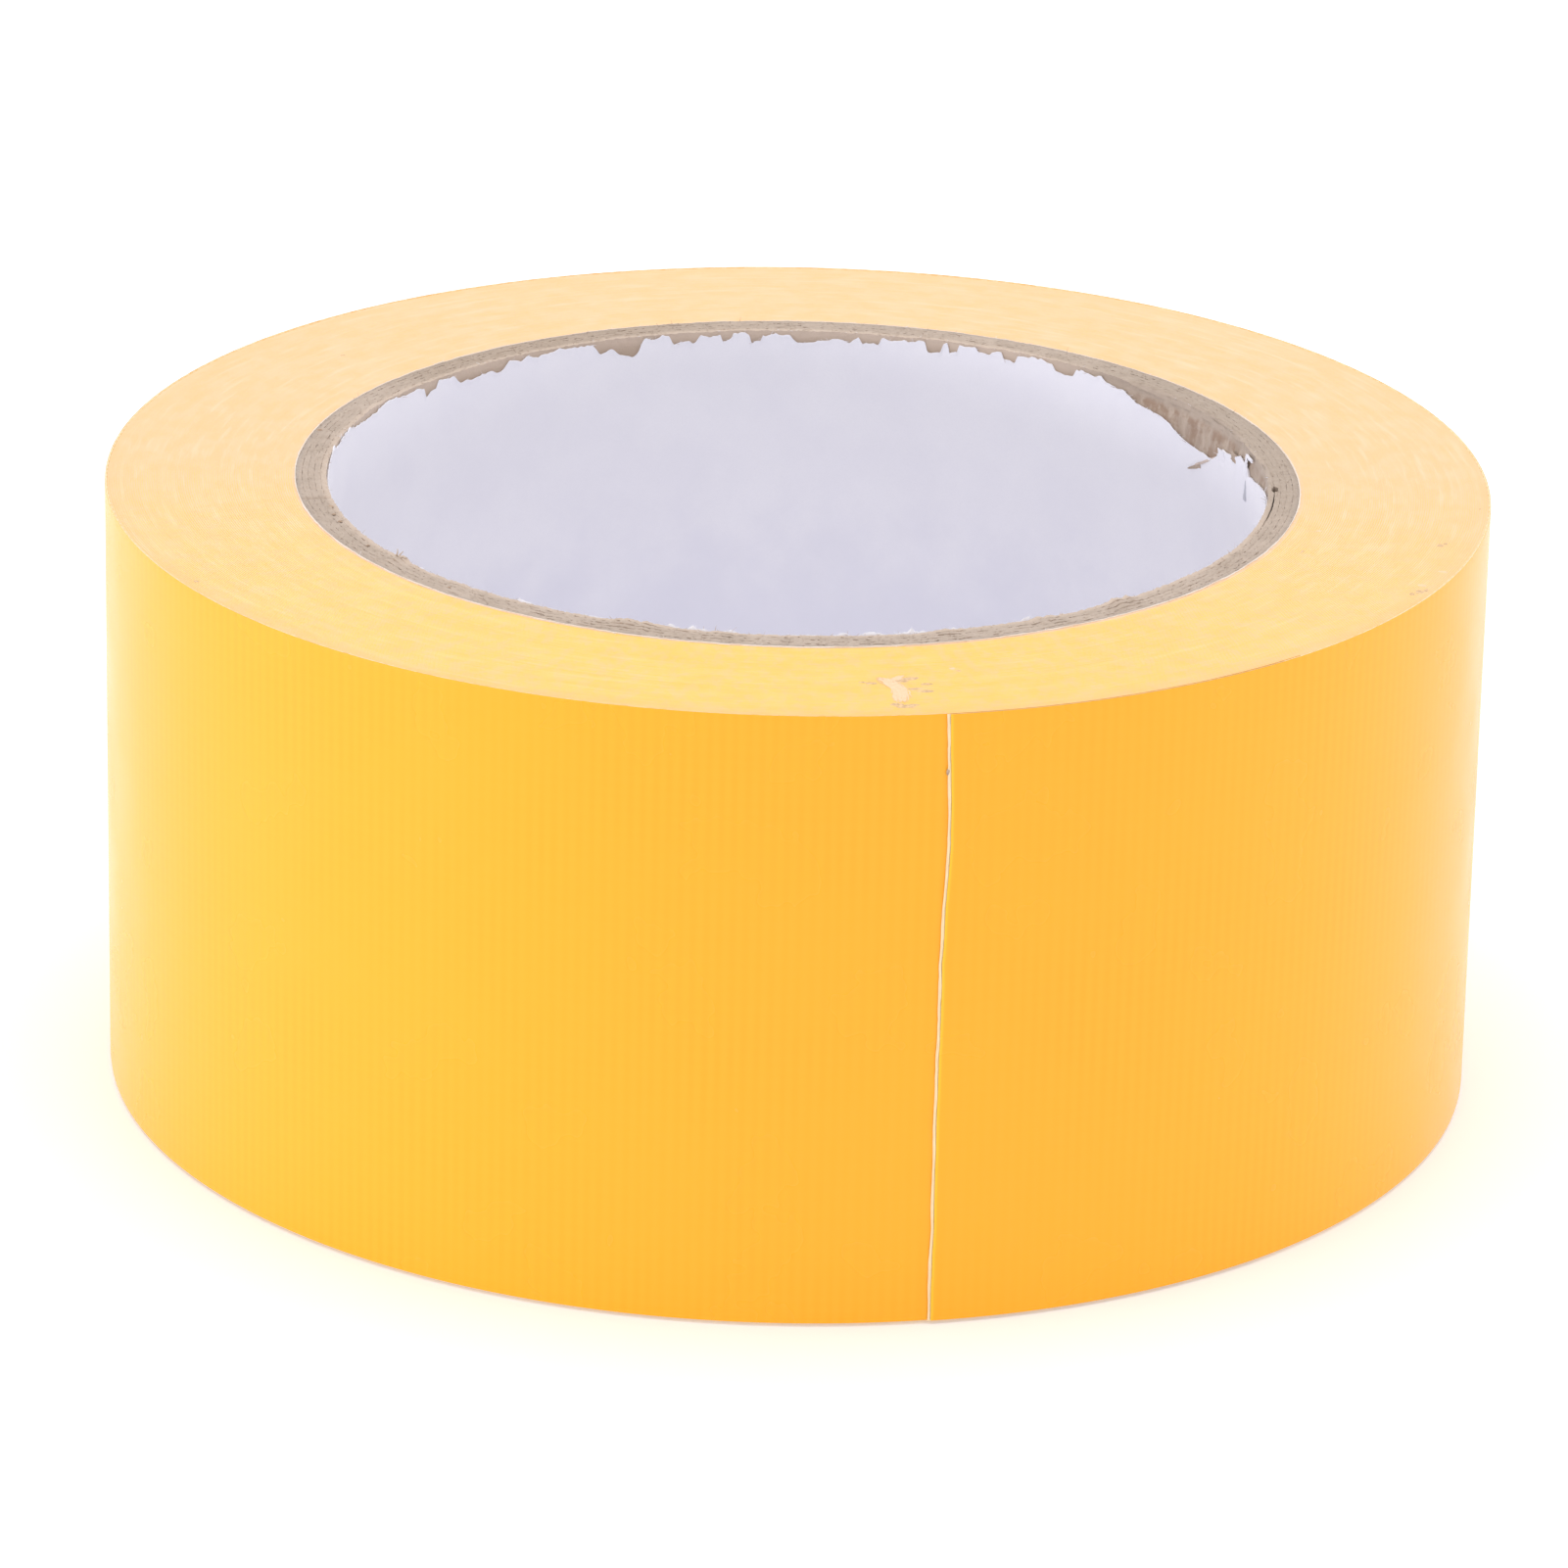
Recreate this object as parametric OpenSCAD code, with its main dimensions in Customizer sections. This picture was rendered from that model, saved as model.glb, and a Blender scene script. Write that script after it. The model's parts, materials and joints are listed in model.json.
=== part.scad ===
// Roll of cloth masking tape on a paper core.
// Z runs along the bore. The origin is the centre of the bore's lower end.

/* [Core] */
// Radius of the bore, which slips over the hub of a dispenser
bore_r = 38.1; // [36:0.05:39.5]
// Thickness of the white paper that lines the bore
liner_t = 0.1; // [0.08:0.01:0.2]
// Thickness of one ply of grey board
ply_t = 0.5; // [0.3:0.05:0.7]
// Number of plies of grey board
ply_count = 5; // [3:1:6]
// Thickness of the white paper around the board
wrap_t = 0.1; // [0.08:0.01:0.2]

/* [Tape] */
// Width of the tape, which is also the height of the roll
tape_w = 50; // [12:1:100]
// Outer radius of the roll at its last turn
roll_r = 56.2; // [50:0.1:75]
// Thickness of the plastic film on the outside of the tape
film_t = 0.05; // [0.03:0.01:0.08]
// Thickness of the crosswise yarns
weft_t = 0.04; // [0.03:0.01:0.08]
// Thickness of the lengthwise yarns
warp_t = 0.04; // [0.03:0.01:0.08]
// Thickness of the adhesive on the inside of the tape
adhesive_t = 0.06; // [0.05:0.01:0.1]

/* [Yarns] */
// Width of one yarn
yarn_w = 0.5; // [0.2:0.05:0.55]
// Distance from one crosswise yarn to the next
weft_pitch = 1; // [0.7:0.1:2]
// Distance from one lengthwise yarn to the next
warp_pitch = 1; // [0.7:0.1:2]

/* [Free end] */
// Direction of the tape's cut end, seen from above
end_angle = -78; // [-180:1:180]
// Angle of the roll that the loose end covers
tab_angle = 30; // [10:1:90]
// Width of the crease where the loose end bends away from the roll
crease_w = 0.1; // [0.06:0.02:0.3]
// Space left under the loose end's adhesive
lift = 0.03; // [0.02:0.01:0.04]

/* [Hidden] */
// Thickness of the whole tape
tape_t = film_t + weft_t + warp_t + adhesive_t;
// Depth of the cloth under the tape's outer face
cloth_depth = film_t;
cloth_t = weft_t + warp_t;
adhesive_depth = film_t + cloth_t;
// Outer radius of the core
core_r = bore_r + liner_t + ply_count * ply_t + wrap_t;
// Each turn of the tape lies one thickness further in than the turn over it. A turn is two half circles, and
// their centres stand half a thickness apart on the line through the cut end, so that the halves meet.
centre_shift = tape_t / 4;
// Angles along the last turn, counted from the cut end
crease_half = crease_w / roll_r * 90 / PI;
tab_to = tab_angle - crease_half;
bonded_from = tab_angle + crease_half;
// Yarns of the loose end
yarn_angle = yarn_w / roll_r * 180 / PI;
weft_angle = weft_pitch / roll_r * 180 / PI;
weft_count = floor((tab_to - yarn_angle) / weft_angle) + 1;
warp_count = floor((tape_w - yarn_w) / warp_pitch) + 1;
warp_start = (tape_w - yarn_w - (warp_count - 1) * warp_pitch) / 2;
// How far a cutting shape runs past a face
past = 1;
$fn = 180;

film_colour = "#ffc03e";
cloth_colour = "#fff2d0";
adhesive_colour = "#f6dd96";
pack_colour = "#ffdf9c";
board_colour = "#bfae9e";
paper_colour = "#e2dfe8";

ply_names = [for (i = [1:ply_count]) str("core_ply_", i)];

// Round wall between two angles
module arc_wall(outer_r, thick, from, to, low = 0, tall = tape_w) {
    rotate(from)
        rotate_extrude(angle = to - from)
            translate([outer_r - thick, low])
                square([thick, tall]);
}

// Part of the last turn, at a depth under the tape's outer face and between two angles from the cut end. The
// first half circle is drawn backwards, so that both halves start from the same plane and join into one solid.
module turn_layer(depth, thick, from, to, low = 0, tall = tape_w) {
    rotate(end_angle)
        union() {
            if (from < 180)
                translate([centre_shift, 0, 0])
                    arc_wall(roll_r - depth, thick, min(to, 180), from, low, tall);
            if (to > 180)
                translate([-centre_shift, 0, 0])
                    arc_wall(roll_r - tape_t / 2 - depth, thick, max(from, 180), to, low, tall);
        }
}

// Closed tube of the core
module core_tube(inner_r, thick) {
    rotate_extrude()
        translate([inner_r, 0])
            square([thick, tape_w]);
}

module core_liner() {
    color(paper_colour)
        core_tube(bore_r, liner_t);
}

// One ply of board, counted from the bore outward
module core_ply(number) {
    color(board_colour)
        core_tube(bore_r + liner_t + (number - 1) * ply_t, ply_t);
}

module core_wrap() {
    color(paper_colour)
        core_tube(core_r - wrap_t, wrap_t);
}

// All the turns under the last one, stuck to each other
module wound_tape() {
    color(pack_colour)
        difference() {
            turn_layer(tape_t, roll_r - tape_t - core_r + past, 0, 360);
            translate([0, 0, -past])
                cylinder(r = core_r, h = tape_w + 2 * past);
        }
}

// The last turn, from the crease round to where the tape passes under its own end
module last_turn_film() {
    color(film_colour)
        turn_layer(0, film_t, bonded_from, 360);
}

module last_turn_cloth() {
    color(cloth_colour)
        turn_layer(cloth_depth, cloth_t, bonded_from, 360);
}

module last_turn_adhesive() {
    color(adhesive_colour)
        turn_layer(adhesive_depth, adhesive_t, bonded_from, 360);
}

// The loose end, which peels outward about the crease
module tape_end_film() {
    color(film_colour)
        turn_layer(0, film_t, 0, tab_to);
}

module tape_end_weft_yarns() {
    color(cloth_colour)
        for (i = [0:weft_count - 1])
            turn_layer(cloth_depth, weft_t, i * weft_angle, i * weft_angle + yarn_angle);
}

module tape_end_warp_yarns() {
    color(cloth_colour)
        for (i = [0:warp_count - 1])
            turn_layer(cloth_depth + weft_t, warp_t, 0, tab_to, warp_start + i * warp_pitch, yarn_w);
}

module tape_end_adhesive() {
    color(adhesive_colour)
        turn_layer(adhesive_depth, adhesive_t - lift, 0, tab_to);
}

core_liner();
for (i = [1:ply_count])
    core_ply(i);
core_wrap();
wound_tape();
last_turn_film();
last_turn_cloth();
last_turn_adhesive();
tape_end_film();
tape_end_weft_yarns();
tape_end_warp_yarns();
tape_end_adhesive();
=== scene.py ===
import json
import math

import bmesh
import bpy
import numpy as np
from mathutils import Matrix, Vector


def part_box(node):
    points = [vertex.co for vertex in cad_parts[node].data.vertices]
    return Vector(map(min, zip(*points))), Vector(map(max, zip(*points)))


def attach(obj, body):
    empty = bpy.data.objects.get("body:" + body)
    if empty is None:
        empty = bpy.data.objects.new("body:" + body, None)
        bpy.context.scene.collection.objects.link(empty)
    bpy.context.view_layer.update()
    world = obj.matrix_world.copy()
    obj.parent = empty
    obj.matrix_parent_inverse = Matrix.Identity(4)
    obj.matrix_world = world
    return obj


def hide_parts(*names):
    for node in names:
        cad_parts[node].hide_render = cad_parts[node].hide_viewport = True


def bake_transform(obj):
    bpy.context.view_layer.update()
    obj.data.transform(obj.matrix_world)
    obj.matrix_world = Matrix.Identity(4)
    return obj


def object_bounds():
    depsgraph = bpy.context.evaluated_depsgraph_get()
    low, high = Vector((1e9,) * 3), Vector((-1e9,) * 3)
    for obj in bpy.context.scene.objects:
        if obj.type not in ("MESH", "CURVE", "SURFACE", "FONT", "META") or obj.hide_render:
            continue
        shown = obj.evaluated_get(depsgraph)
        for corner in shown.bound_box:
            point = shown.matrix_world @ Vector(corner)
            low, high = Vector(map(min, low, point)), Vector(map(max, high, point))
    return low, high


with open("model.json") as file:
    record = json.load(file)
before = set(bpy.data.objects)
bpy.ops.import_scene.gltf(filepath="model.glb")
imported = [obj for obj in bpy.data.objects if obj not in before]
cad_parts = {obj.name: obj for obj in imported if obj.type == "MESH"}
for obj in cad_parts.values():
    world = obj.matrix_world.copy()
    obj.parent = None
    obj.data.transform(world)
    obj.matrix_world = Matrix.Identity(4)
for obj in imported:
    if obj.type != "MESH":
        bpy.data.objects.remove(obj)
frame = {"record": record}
cad_low, cad_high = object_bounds()

# Lengths in the code below are millimetres, and meshes are written in metres.
MM = 0.001
UP = np.array([0, 0, 1.0])
EAST = np.array([1.0, 0, 0])

# Points closer than this become one, in metres.
WELD = 2e-7

# The tape's spiral, as in part.scad: each turn is two half circles whose centres stand apart.
ROLL_R = 56.2
TAPE_T = 0.19
FILM_T = 0.05
CLOTH_T = 0.08
CENTRE_SHIFT = TAPE_T / 4
END_ANGLE = -78.0
TAB_ANGLE = 30.0
YARN_PITCH = 1.0

# The core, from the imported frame
WIDTH = (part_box("wound_tape")[1][2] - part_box("wound_tape")[0][2]) / MM
BORE_R = frame["record"]["mounts"][0]["dims"]["r_mm"]
LINER_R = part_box("core_liner")[1][0] / MM
PLY_R = [LINER_R] + [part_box("core_ply_%d" % (i + 1))[1][0] / MM for i in range(5)]
CORE_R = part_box("core_wrap")[1][0] / MM

# Section of one turn's edge on the side face, from its outer face inward: share of the tape's thickness, and
# height. The film's outer face stands a little over the turn outside it.
TURN_SHARES = np.array([0.0, 0.06, 0.55, 1.0])
TURN_HEIGHTS = np.array([-0.030, 0.0, -0.009, -0.030])

# Turns of tape in the pack: as many whole ones as fit between the core and the last turn
PACK_TURNS = int((ROLL_R - 1.5 * TAPE_T - CENTRE_SHIFT - CORE_R - 0.02) / TAPE_T)

# Hidden walls inside the pack and the last turn, where the closed meshes meet
PACK_OUTER_R = 55.7
PACK_INNER_R = 41.1

# Room under the roll for the fuzz on its lower face
FLOOR_GAP = 0.3

# How the cut edge wanders: height, and degrees along the tape from its nominal place
CUT_EDGE = (
    (0, -0.21), (4.9, -0.21), (7.4, -0.12), (12.4, -0.15), (20, -0.12), (22.2, -0.09),
    (24.7, -0.02), (29.7, -0.04), (32.1, 0.065), (34.6, 0.09), (37.1, 0.29), (39.5, 0.365),
    (44.5, 0.29), (47, 0.17), (50, 0.07),
)

# How deep the liner is torn below the rim, by angle round the bore
TEAR = (
    (-10, 0.0), (-4, 0.3), (0, 0.7), (5, 1.25), (8, 1.5), (11, 1.75), (12.7, 1.9), (13.4, 1.3),
    (15.3, 1.2), (16.6, 0.9), (17.6, 1.2), (18.9, 1.64), (20.0, 1.6), (21.1, 1.73),
    (22.3, 1.65), (23.2, 1.9), (24, 2.6), (25, 3.05), (26.2, 3.2), (28, 3.1), (30, 3.0),
    (32.5, 2.85), (35.5, 2.0), (38, 1.6), (42, 1.35), (44, 0.7), (47, 0.35), (51, 0.0),
)

# Deeper bites out of the liner's rim: angle, half width in degrees, depth
LINER_BITES = (
    (144, 1.6, 0.8), (135, 5.0, 0.9), (114, 3.8, 1.3), (105, 2.2, 0.8), (99.5, 0.9, 0.6),
    (95.7, 0.9, 0.7), (87, 5.0, 0.75), (81, 1.6, 0.9), (72.6, 1.3, 0.9), (70, 0.8, 0.9),
    (65.8, 1.2, 0.4), (62.2, 1.2, 0.7), (54, 2.0, 0.9), (-151, 3.0, 0.3), (-165, 4.0, 0.4),
)

# Places where the liner's ragged edge stands over the rim: angle, half width, height
LINER_PEAKS = (
    (-104.5, 1.6, 0.36), (-101.4, 1.6, 0.42), (-97.5, 1.2, 0.24), (-84.5, 1.4, 0.28),
    (-81.0, 1.8, 0.4), (-76.0, 3.2, 0.44), (-71.0, 1.2, 0.3), (-62.0, 2.0, 0.3),
    (-124.0, 2.5, 0.25), (174.5, 4.0, 0.5), (167.0, 4.0, 0.3),
)

# Bumps on the board's rim: angle, half width in degrees, height
RIM_BUMPS = (
    (-143.6, 1.6, 0.42), (-109, 5.5, 0.35), (-98, 3.0, 0.15), (-72, 3.0, 0.2), (-60, 2.5, 0.3),
    (-49, 4.0, 0.5), (158, 3, 0.15),
)

# Dark brown specks on the board's rim: radius, angle, size
RIM_PITS = (
    (40.35, 167.4, 0.2), (38.7, -164.5, 0.2), (38.9, -161.7, 0.16), (38.95, -159, 0.2),
    (39.1, -150, 0.13), (39.6, -133, 0.14),
)

# Radial cracks across the board's rim: angle, half width, depth
RIM_CRACKS = ((-168, 0.5, 0.35), (-171.5, 0.4, 0.1), (-30, 0.4, 0.1), (124, 0.4, 0.1))


# ---------------- numbers


def smooth_noise(x, seed, period=4096):
    """A value from -1 to 1 for each x, smooth between whole numbers."""
    table = np.random.default_rng(seed).uniform(-1, 1, period)
    whole = np.floor(x).astype(int)
    part = x - whole
    part = part * part * (3 - 2 * part)
    return table[whole % period] * (1 - part) + table[(whole + 1) % period] * part


def ring_noise(degrees, cells, seed):
    """Noise around a full turn that meets itself."""
    return smooth_noise(np.asarray(degrees, float) / 360 * cells, seed, cells)


def field_noise(x, y, seed):
    """Noise over a plane, from -1 to 1."""
    table = np.random.default_rng(seed).uniform(-1, 1, (512, 512))
    wx = np.floor(x).astype(int)
    wy = np.floor(y).astype(int)
    fx = x - wx
    fy = y - wy
    fx = fx * fx * (3 - 2 * fx)
    fy = fy * fy * (3 - 2 * fy)
    low = table[wx % 512, wy % 512] * (1 - fx) + table[(wx + 1) % 512, wy % 512] * fx
    high = table[wx % 512, (wy + 1) % 512] * (1 - fx) + table[(wx + 1) % 512, (wy + 1) % 512] * fx
    return low * (1 - fy) + high * fy


def step_up(x, low, high):
    """Smooth step from 0 at low to 1 at high."""
    t = np.clip((np.asarray(x, float) - low) / (high - low), 0, 1)
    return t * t * (3 - 2 * t)


def hill(degrees, centre, half_width):
    """A smooth bump around the ring, 1 at its centre and 0 beyond its half width."""
    away = (np.asarray(degrees, float) - centre + 180) % 360 - 180
    return 1 - step_up(np.abs(away), 0, half_width)


def on_tape(degrees, depth, z):
    """World points on the tape, at angles along it from the cut end and depths under its outer face."""
    half = np.floor(np.asarray(degrees, float) / 180)
    turn = np.radians(degrees)
    radius = ROLL_R - depth - half * TAPE_T / 2
    x = np.where(half % 2 == 0, CENTRE_SHIFT, -CENTRE_SHIFT) + radius * np.cos(turn)
    y = radius * np.sin(turn)
    c = math.cos(math.radians(END_ANGLE))
    s = math.sin(math.radians(END_ANGLE))
    return np.stack([x * c - y * s, x * s + y * c, z], -1)


def arc_length(degrees):
    """Length of tape from the cut end to an angle along it."""
    turn = np.radians(degrees)
    return ROLL_R * turn - TAPE_T * turn * turn / (4 * math.pi)


def angle_at(arc):
    """Angle along the last turn at a length of tape from the cut end."""
    return np.degrees(np.asarray(arc, float) / ROLL_R)


def on_ring(degrees, radius, z):
    """World points on a circle round the bore."""
    degrees, radius, z = np.broadcast_arrays(degrees, radius, z)
    turn = np.radians(degrees)
    return np.stack([radius * np.cos(turn), radius * np.sin(turn), z], -1)


def outward_at(degrees):
    """Unit vectors pointing away from the bore's centre line."""
    return on_ring(degrees, 1.0, 0)


def top_point(radius, degrees, lift=0.0):
    """Points by the upper side face."""
    return on_ring(degrees, radius, WIDTH - 0.05 + lift)


def cut_wander(z):
    """Where the cut edge runs at a height, in degrees along the tape."""
    z = np.asarray(z, float)
    heights, degrees = zip(*CUT_EDGE)
    ragged = 0.02 * smooth_noise(z / 1.3, 41) + 0.012 * smooth_noise(z / 0.35, 42)
    return np.interp(z, heights, degrees) + ragged


# ---------------- meshes


def add_object(name, data):
    made = bpy.data.objects.new(name, data)
    bpy.context.scene.collection.objects.link(made)
    return made


class Shell:
    """Collects grids of points and welds them into one mesh."""

    def __init__(self):
        self.points = []
        self.faces = []
        self.uvs = []
        self.count = 0

    def grid(self, points, uv=None, flip=False):
        """Adds a grid of points, rows x columns x 3, with a UV for each point."""
        rows, columns = points.shape[:2]
        if uv is None:
            uv = np.zeros((rows, columns, 2))
        index = self.count + np.arange(rows * columns).reshape(rows, columns)
        corners = [index[:-1, :-1], index[:-1, 1:], index[1:, 1:], index[1:, :-1]]
        if flip:
            corners.reverse()
        quads = np.stack(corners, -1).reshape(-1, 4)
        self.points.append(points.reshape(-1, 3))
        self.uvs.append(uv.reshape(-1, 2))
        self.faces.extend(quads.tolist())
        self.count += rows * columns

    def polygon(self, points):
        """Adds one flat face."""
        n = len(points)
        self.points.append(points)
        self.uvs.append(np.zeros((n, 2)))
        self.faces.append(list(range(self.count, self.count + n)))
        self.count += n

    def piece(self, name, body, slot, material, nodes=(), sharp=50.0):
        """Makes the object, hides the CAD parts it takes the place of, and hangs it on its body."""
        points = np.concatenate(self.points) * MM
        uvs = np.concatenate(self.uvs)
        mesh = bpy.data.meshes.new(name)
        mesh.from_pydata(points.tolist(), [], self.faces)
        layer = mesh.uv_layers.new(name="tape")
        order = np.zeros(len(mesh.loops), int)
        mesh.loops.foreach_get("vertex_index", order)
        layer.data.foreach_set("uv", uvs[order].astype(np.float32).ravel())
        work = bmesh.new()
        work.from_mesh(mesh)
        bmesh.ops.remove_doubles(work, verts=work.verts, dist=WELD)
        bmesh.ops.recalc_face_normals(work, faces=work.faces)
        work.to_mesh(mesh)
        work.free()
        mesh.shade_smooth()
        mesh.set_sharp_from_angle(angle=math.radians(sharp))
        mesh.materials.append(material)
        piece = add_object(name, mesh)
        if nodes:
            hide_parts(*nodes)
        if body:
            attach(piece, body)
        return piece


def slab(shell, outside, inside, uv=None):
    """Adds a closed sheet between two grids of points."""
    if uv is None:
        uv = np.zeros(outside.shape[:2] + (2,))
    shell.grid(outside, uv)
    shell.grid(inside, uv, flip=True)
    for end in (0, -1):
        rows = np.stack([outside[end], inside[end]])
        shell.grid(rows, np.stack([uv[end], uv[end]]), flip=end == 0)
        columns = np.stack([outside[:, end], inside[:, end]])
        shell.grid(columns, np.stack([uv[:, end], uv[:, end]]), flip=end == -1)


def tube(shell, path, radii, sides, flat=1.0, flat_axis=(0.3, 0.2, 1.0)):
    """Adds a closed tube along a path of points, for a yarn or a fibre."""
    path = np.asarray(path, float)
    radii = np.broadcast_to(np.asarray(radii, float), (len(path),))
    along = np.gradient(path, axis=0)
    along /= np.linalg.norm(along, axis=1)[:, None] + 1e-12
    side = np.cross(along, np.broadcast_to(flat_axis, along.shape))
    side /= np.linalg.norm(side, axis=1)[:, None] + 1e-12
    up = np.cross(side, along)
    turns = np.linspace(0, 2 * math.pi, sides + 1)
    rings = []
    for turn in turns:
        offset = side * math.cos(turn) + up * math.sin(turn) * flat
        rings.append(path + offset * radii[:, None])
    points = np.stack(rings)
    length = np.concatenate([[0], np.cumsum(np.linalg.norm(np.diff(path, axis=0), axis=1))])
    u = np.broadcast_to(length, points.shape[:2])
    v = np.broadcast_to(turns[:, None], points.shape[:2])
    shell.grid(points, np.stack([u, v], -1))
    shell.polygon(points[:-1, 0][::-1])
    shell.polygon(points[:-1, -1])


def blob(shell, centre, normal, size, seed, stretch, along, height):
    """Adds a low uneven lump on a surface, such as a speck of dirt or glue."""
    n = normal / np.linalg.norm(normal)
    t = along - n * np.dot(along, n)
    t /= np.linalg.norm(t)
    b = np.cross(n, t)
    rng = np.random.default_rng(seed)
    turn = np.linspace(0, 2 * math.pi, 15)
    wobble = 1 + 0.3 * smooth_noise(np.linspace(0, 7, len(turn)), seed, 7)
    rows = []
    for share, lift in ((1.0, -0.5), (0.86, 0.1), (0.68, 0.55), (0.42, 0.85), (0.08, 1.0)):
        r = size * share * wobble
        up = size * height * lift * (1 + 0.15 * rng.uniform(-1, 1))
        rows.append(centre + np.outer(r * np.cos(turn) * stretch, t) + np.outer(r * np.sin(turn), b) + n * up)
    points = np.stack(rows)
    shell.grid(points)
    shell.polygon(points[0, :-1][::-1])
    shell.polygon(points[-1, :-1])


# ---------------- materials


class Look:
    """A procedural material: nodes are added by short calls."""

    def __init__(self, name):
        self.material = bpy.data.materials.new(name)
        self.material.use_nodes = True
        self.tree = self.material.node_tree
        self.tree.nodes.clear()
        self.output = self.tree.nodes.new("ShaderNodeOutputMaterial")
        self.shader = self.tree.nodes.new("ShaderNodeBsdfPrincipled")
        self.tree.links.new(self.shader.outputs[0], self.output.inputs["Surface"])

    def put(self, socket, value):
        """Sets a socket to a number or a colour, or links it."""
        if isinstance(value, bpy.types.NodeSocket):
            self.tree.links.new(value, socket)
        elif isinstance(value, tuple) and len(value) == 3 and len(socket.default_value) == 4:
            socket.default_value = (*value, 1.0)
        else:
            socket.default_value = value

    def node(self, kind, inputs=None, **settings):
        made = self.tree.nodes.new("ShaderNode" + kind)
        for key, value in settings.items():
            setattr(made, key, value)
        for key, value in (inputs or {}).items():
            self.put(made.inputs[key], value)
        return made

    def place(self):
        """Position on the object, in millimetres."""
        inputs = {0: self.node("TexCoord").outputs["Object"], "Scale": 1 / MM}
        return self.node("VectorMath", inputs, operation="SCALE").outputs[0]

    def strand(self):
        """Position on the tape in millimetres: along it, and across it."""
        return self.node("UVMap", uv_map="tape").outputs[0]

    def split(self, vector):
        return self.node("SeparateXYZ", {0: vector}).outputs

    def join(self, x, y, z=0.0):
        return self.node("CombineXYZ", {0: x, 1: y, 2: z}).outputs[0]

    def math(self, operation, a, b=0.0, c=0.0):
        return self.node("Math", {0: a, 1: b, 2: c}, operation=operation).outputs[0]

    def times(self, a, b):
        return self.math("MULTIPLY", a, b)

    def plus(self, a, b):
        return self.math("ADD", a, b)

    def noise(self, vector, scale, detail=2.0, roughness=0.5, kind="3D"):
        inputs = {"Scale": scale, "Detail": detail, "Roughness": roughness}
        inputs["W" if kind == "1D" else "Vector"] = vector
        return self.node("TexNoise", inputs, noise_dimensions=kind).outputs["Fac"]

    def level(self, value, low, high, to_low=0.0, to_high=1.0):
        """Smoothly maps a range of values to another."""
        inputs = {"Value": value, "From Min": low, "From Max": high, "To Min": to_low, "To Max": to_high}
        return self.node("MapRange", inputs, interpolation_type="SMOOTHSTEP").outputs[0]

    def waves(self, distance, pitch):
        """Even waves from -1 to 1."""
        return self.math("SINE", self.times(distance, 2 * math.pi / pitch))

    def radius(self, place):
        """Distance from the bore's centre line."""
        x, y, _ = self.split(place)
        return self.node("VectorMath", {0: self.join(x, y)}, operation="LENGTH").outputs["Value"]

    def rings(self, place, around, outward):
        """Position for noise round the bore: scaled per radian around it, and per millimetre outward."""
        x, y, _ = self.split(place)
        radius = self.radius(place)
        turned_x = self.times(self.math("DIVIDE", x, radius), around)
        turned_y = self.times(self.math("DIVIDE", y, radius), around)
        return self.join(turned_x, turned_y, self.times(radius, outward))

    def mix(self, share, a, b):
        made = self.node("Mix", data_type="RGBA", clamp_factor=True)
        for index, value in ((0, share), (6, a), (7, b)):
            self.put(made.inputs[index], value)
        return made.outputs[2]

    def tint(self, color, other, value, low, high, most=1.0):
        """Mixes in another colour: none of it at the low value, and the most at the high one."""
        return self.mix(self.level(value, low, high, 0.0, most), color, other)

    def bump(self, height, distance, normal=None):
        inputs = {"Height": height, "Distance": distance * MM}
        if normal is not None:
            inputs["Normal"] = normal
        return self.node("Bump", inputs).outputs[0]

    def finish(self, color, roughness, normal=None, **settings):
        self.put(self.shader.inputs["Base Color"], color)
        self.put(self.shader.inputs["Roughness"], roughness)
        if normal is not None:
            self.put(self.shader.inputs["Normal"], normal)
        for key, value in settings.items():
            self.put(self.shader.inputs[key.replace("_", " ")], value)
        return self.material


def film_look():
    """Glossy yellow film with the cloth's yarns faintly showing through, and a painted highlight along its
    cut edge.
    """
    look = Look("yellow_film")
    along, across, _ = look.split(look.strand())
    drift = look.noise(look.join(look.times(along, 0.05), across), 1.0, 1.0)
    rows = look.waves(look.plus(across, look.times(drift, 0.25)), YARN_PITCH)
    drift = look.noise(look.join(along, look.times(across, 0.05)), 0.4, 2.0)
    ribs = look.waves(look.plus(along, look.times(drift, 0.3)), YARN_PITCH)
    patches = look.join(look.times(along, 0.3), look.times(across, 0.15))
    strength = look.noise(patches, 1.0, 2.0)
    weave = look.times(look.plus(look.times(rows, 0.2), ribs), strength)
    blotch = look.noise(look.place(), 0.05, 3.0, 0.6)
    base = look.mix(look.level(blotch, 0.3, 0.7), (0.958, 0.412, 0.003), (0.966, 0.428, 0.005))
    color = look.mix(look.level(weave, -0.8, 0.8), base, (0.975, 0.437, 0.007))
    # Painted highlight: a lighter yellow band along the cut edge, for the light the film's rounded edge
    # catches.
    color = look.tint(color, (0.97, 0.56, 0.015), along, 0.3, 0.08, 0.8)
    grain = look.noise(look.strand(), 9.0, 2.0)
    normal = look.bump(rows, 0.0015)
    normal = look.bump(grain, 0.002, normal)
    rough = look.level(look.noise(look.place(), 0.12, 3.0), 0.3, 0.7, 0.22, 0.28)
    return look.finish(color, rough, normal)


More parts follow.
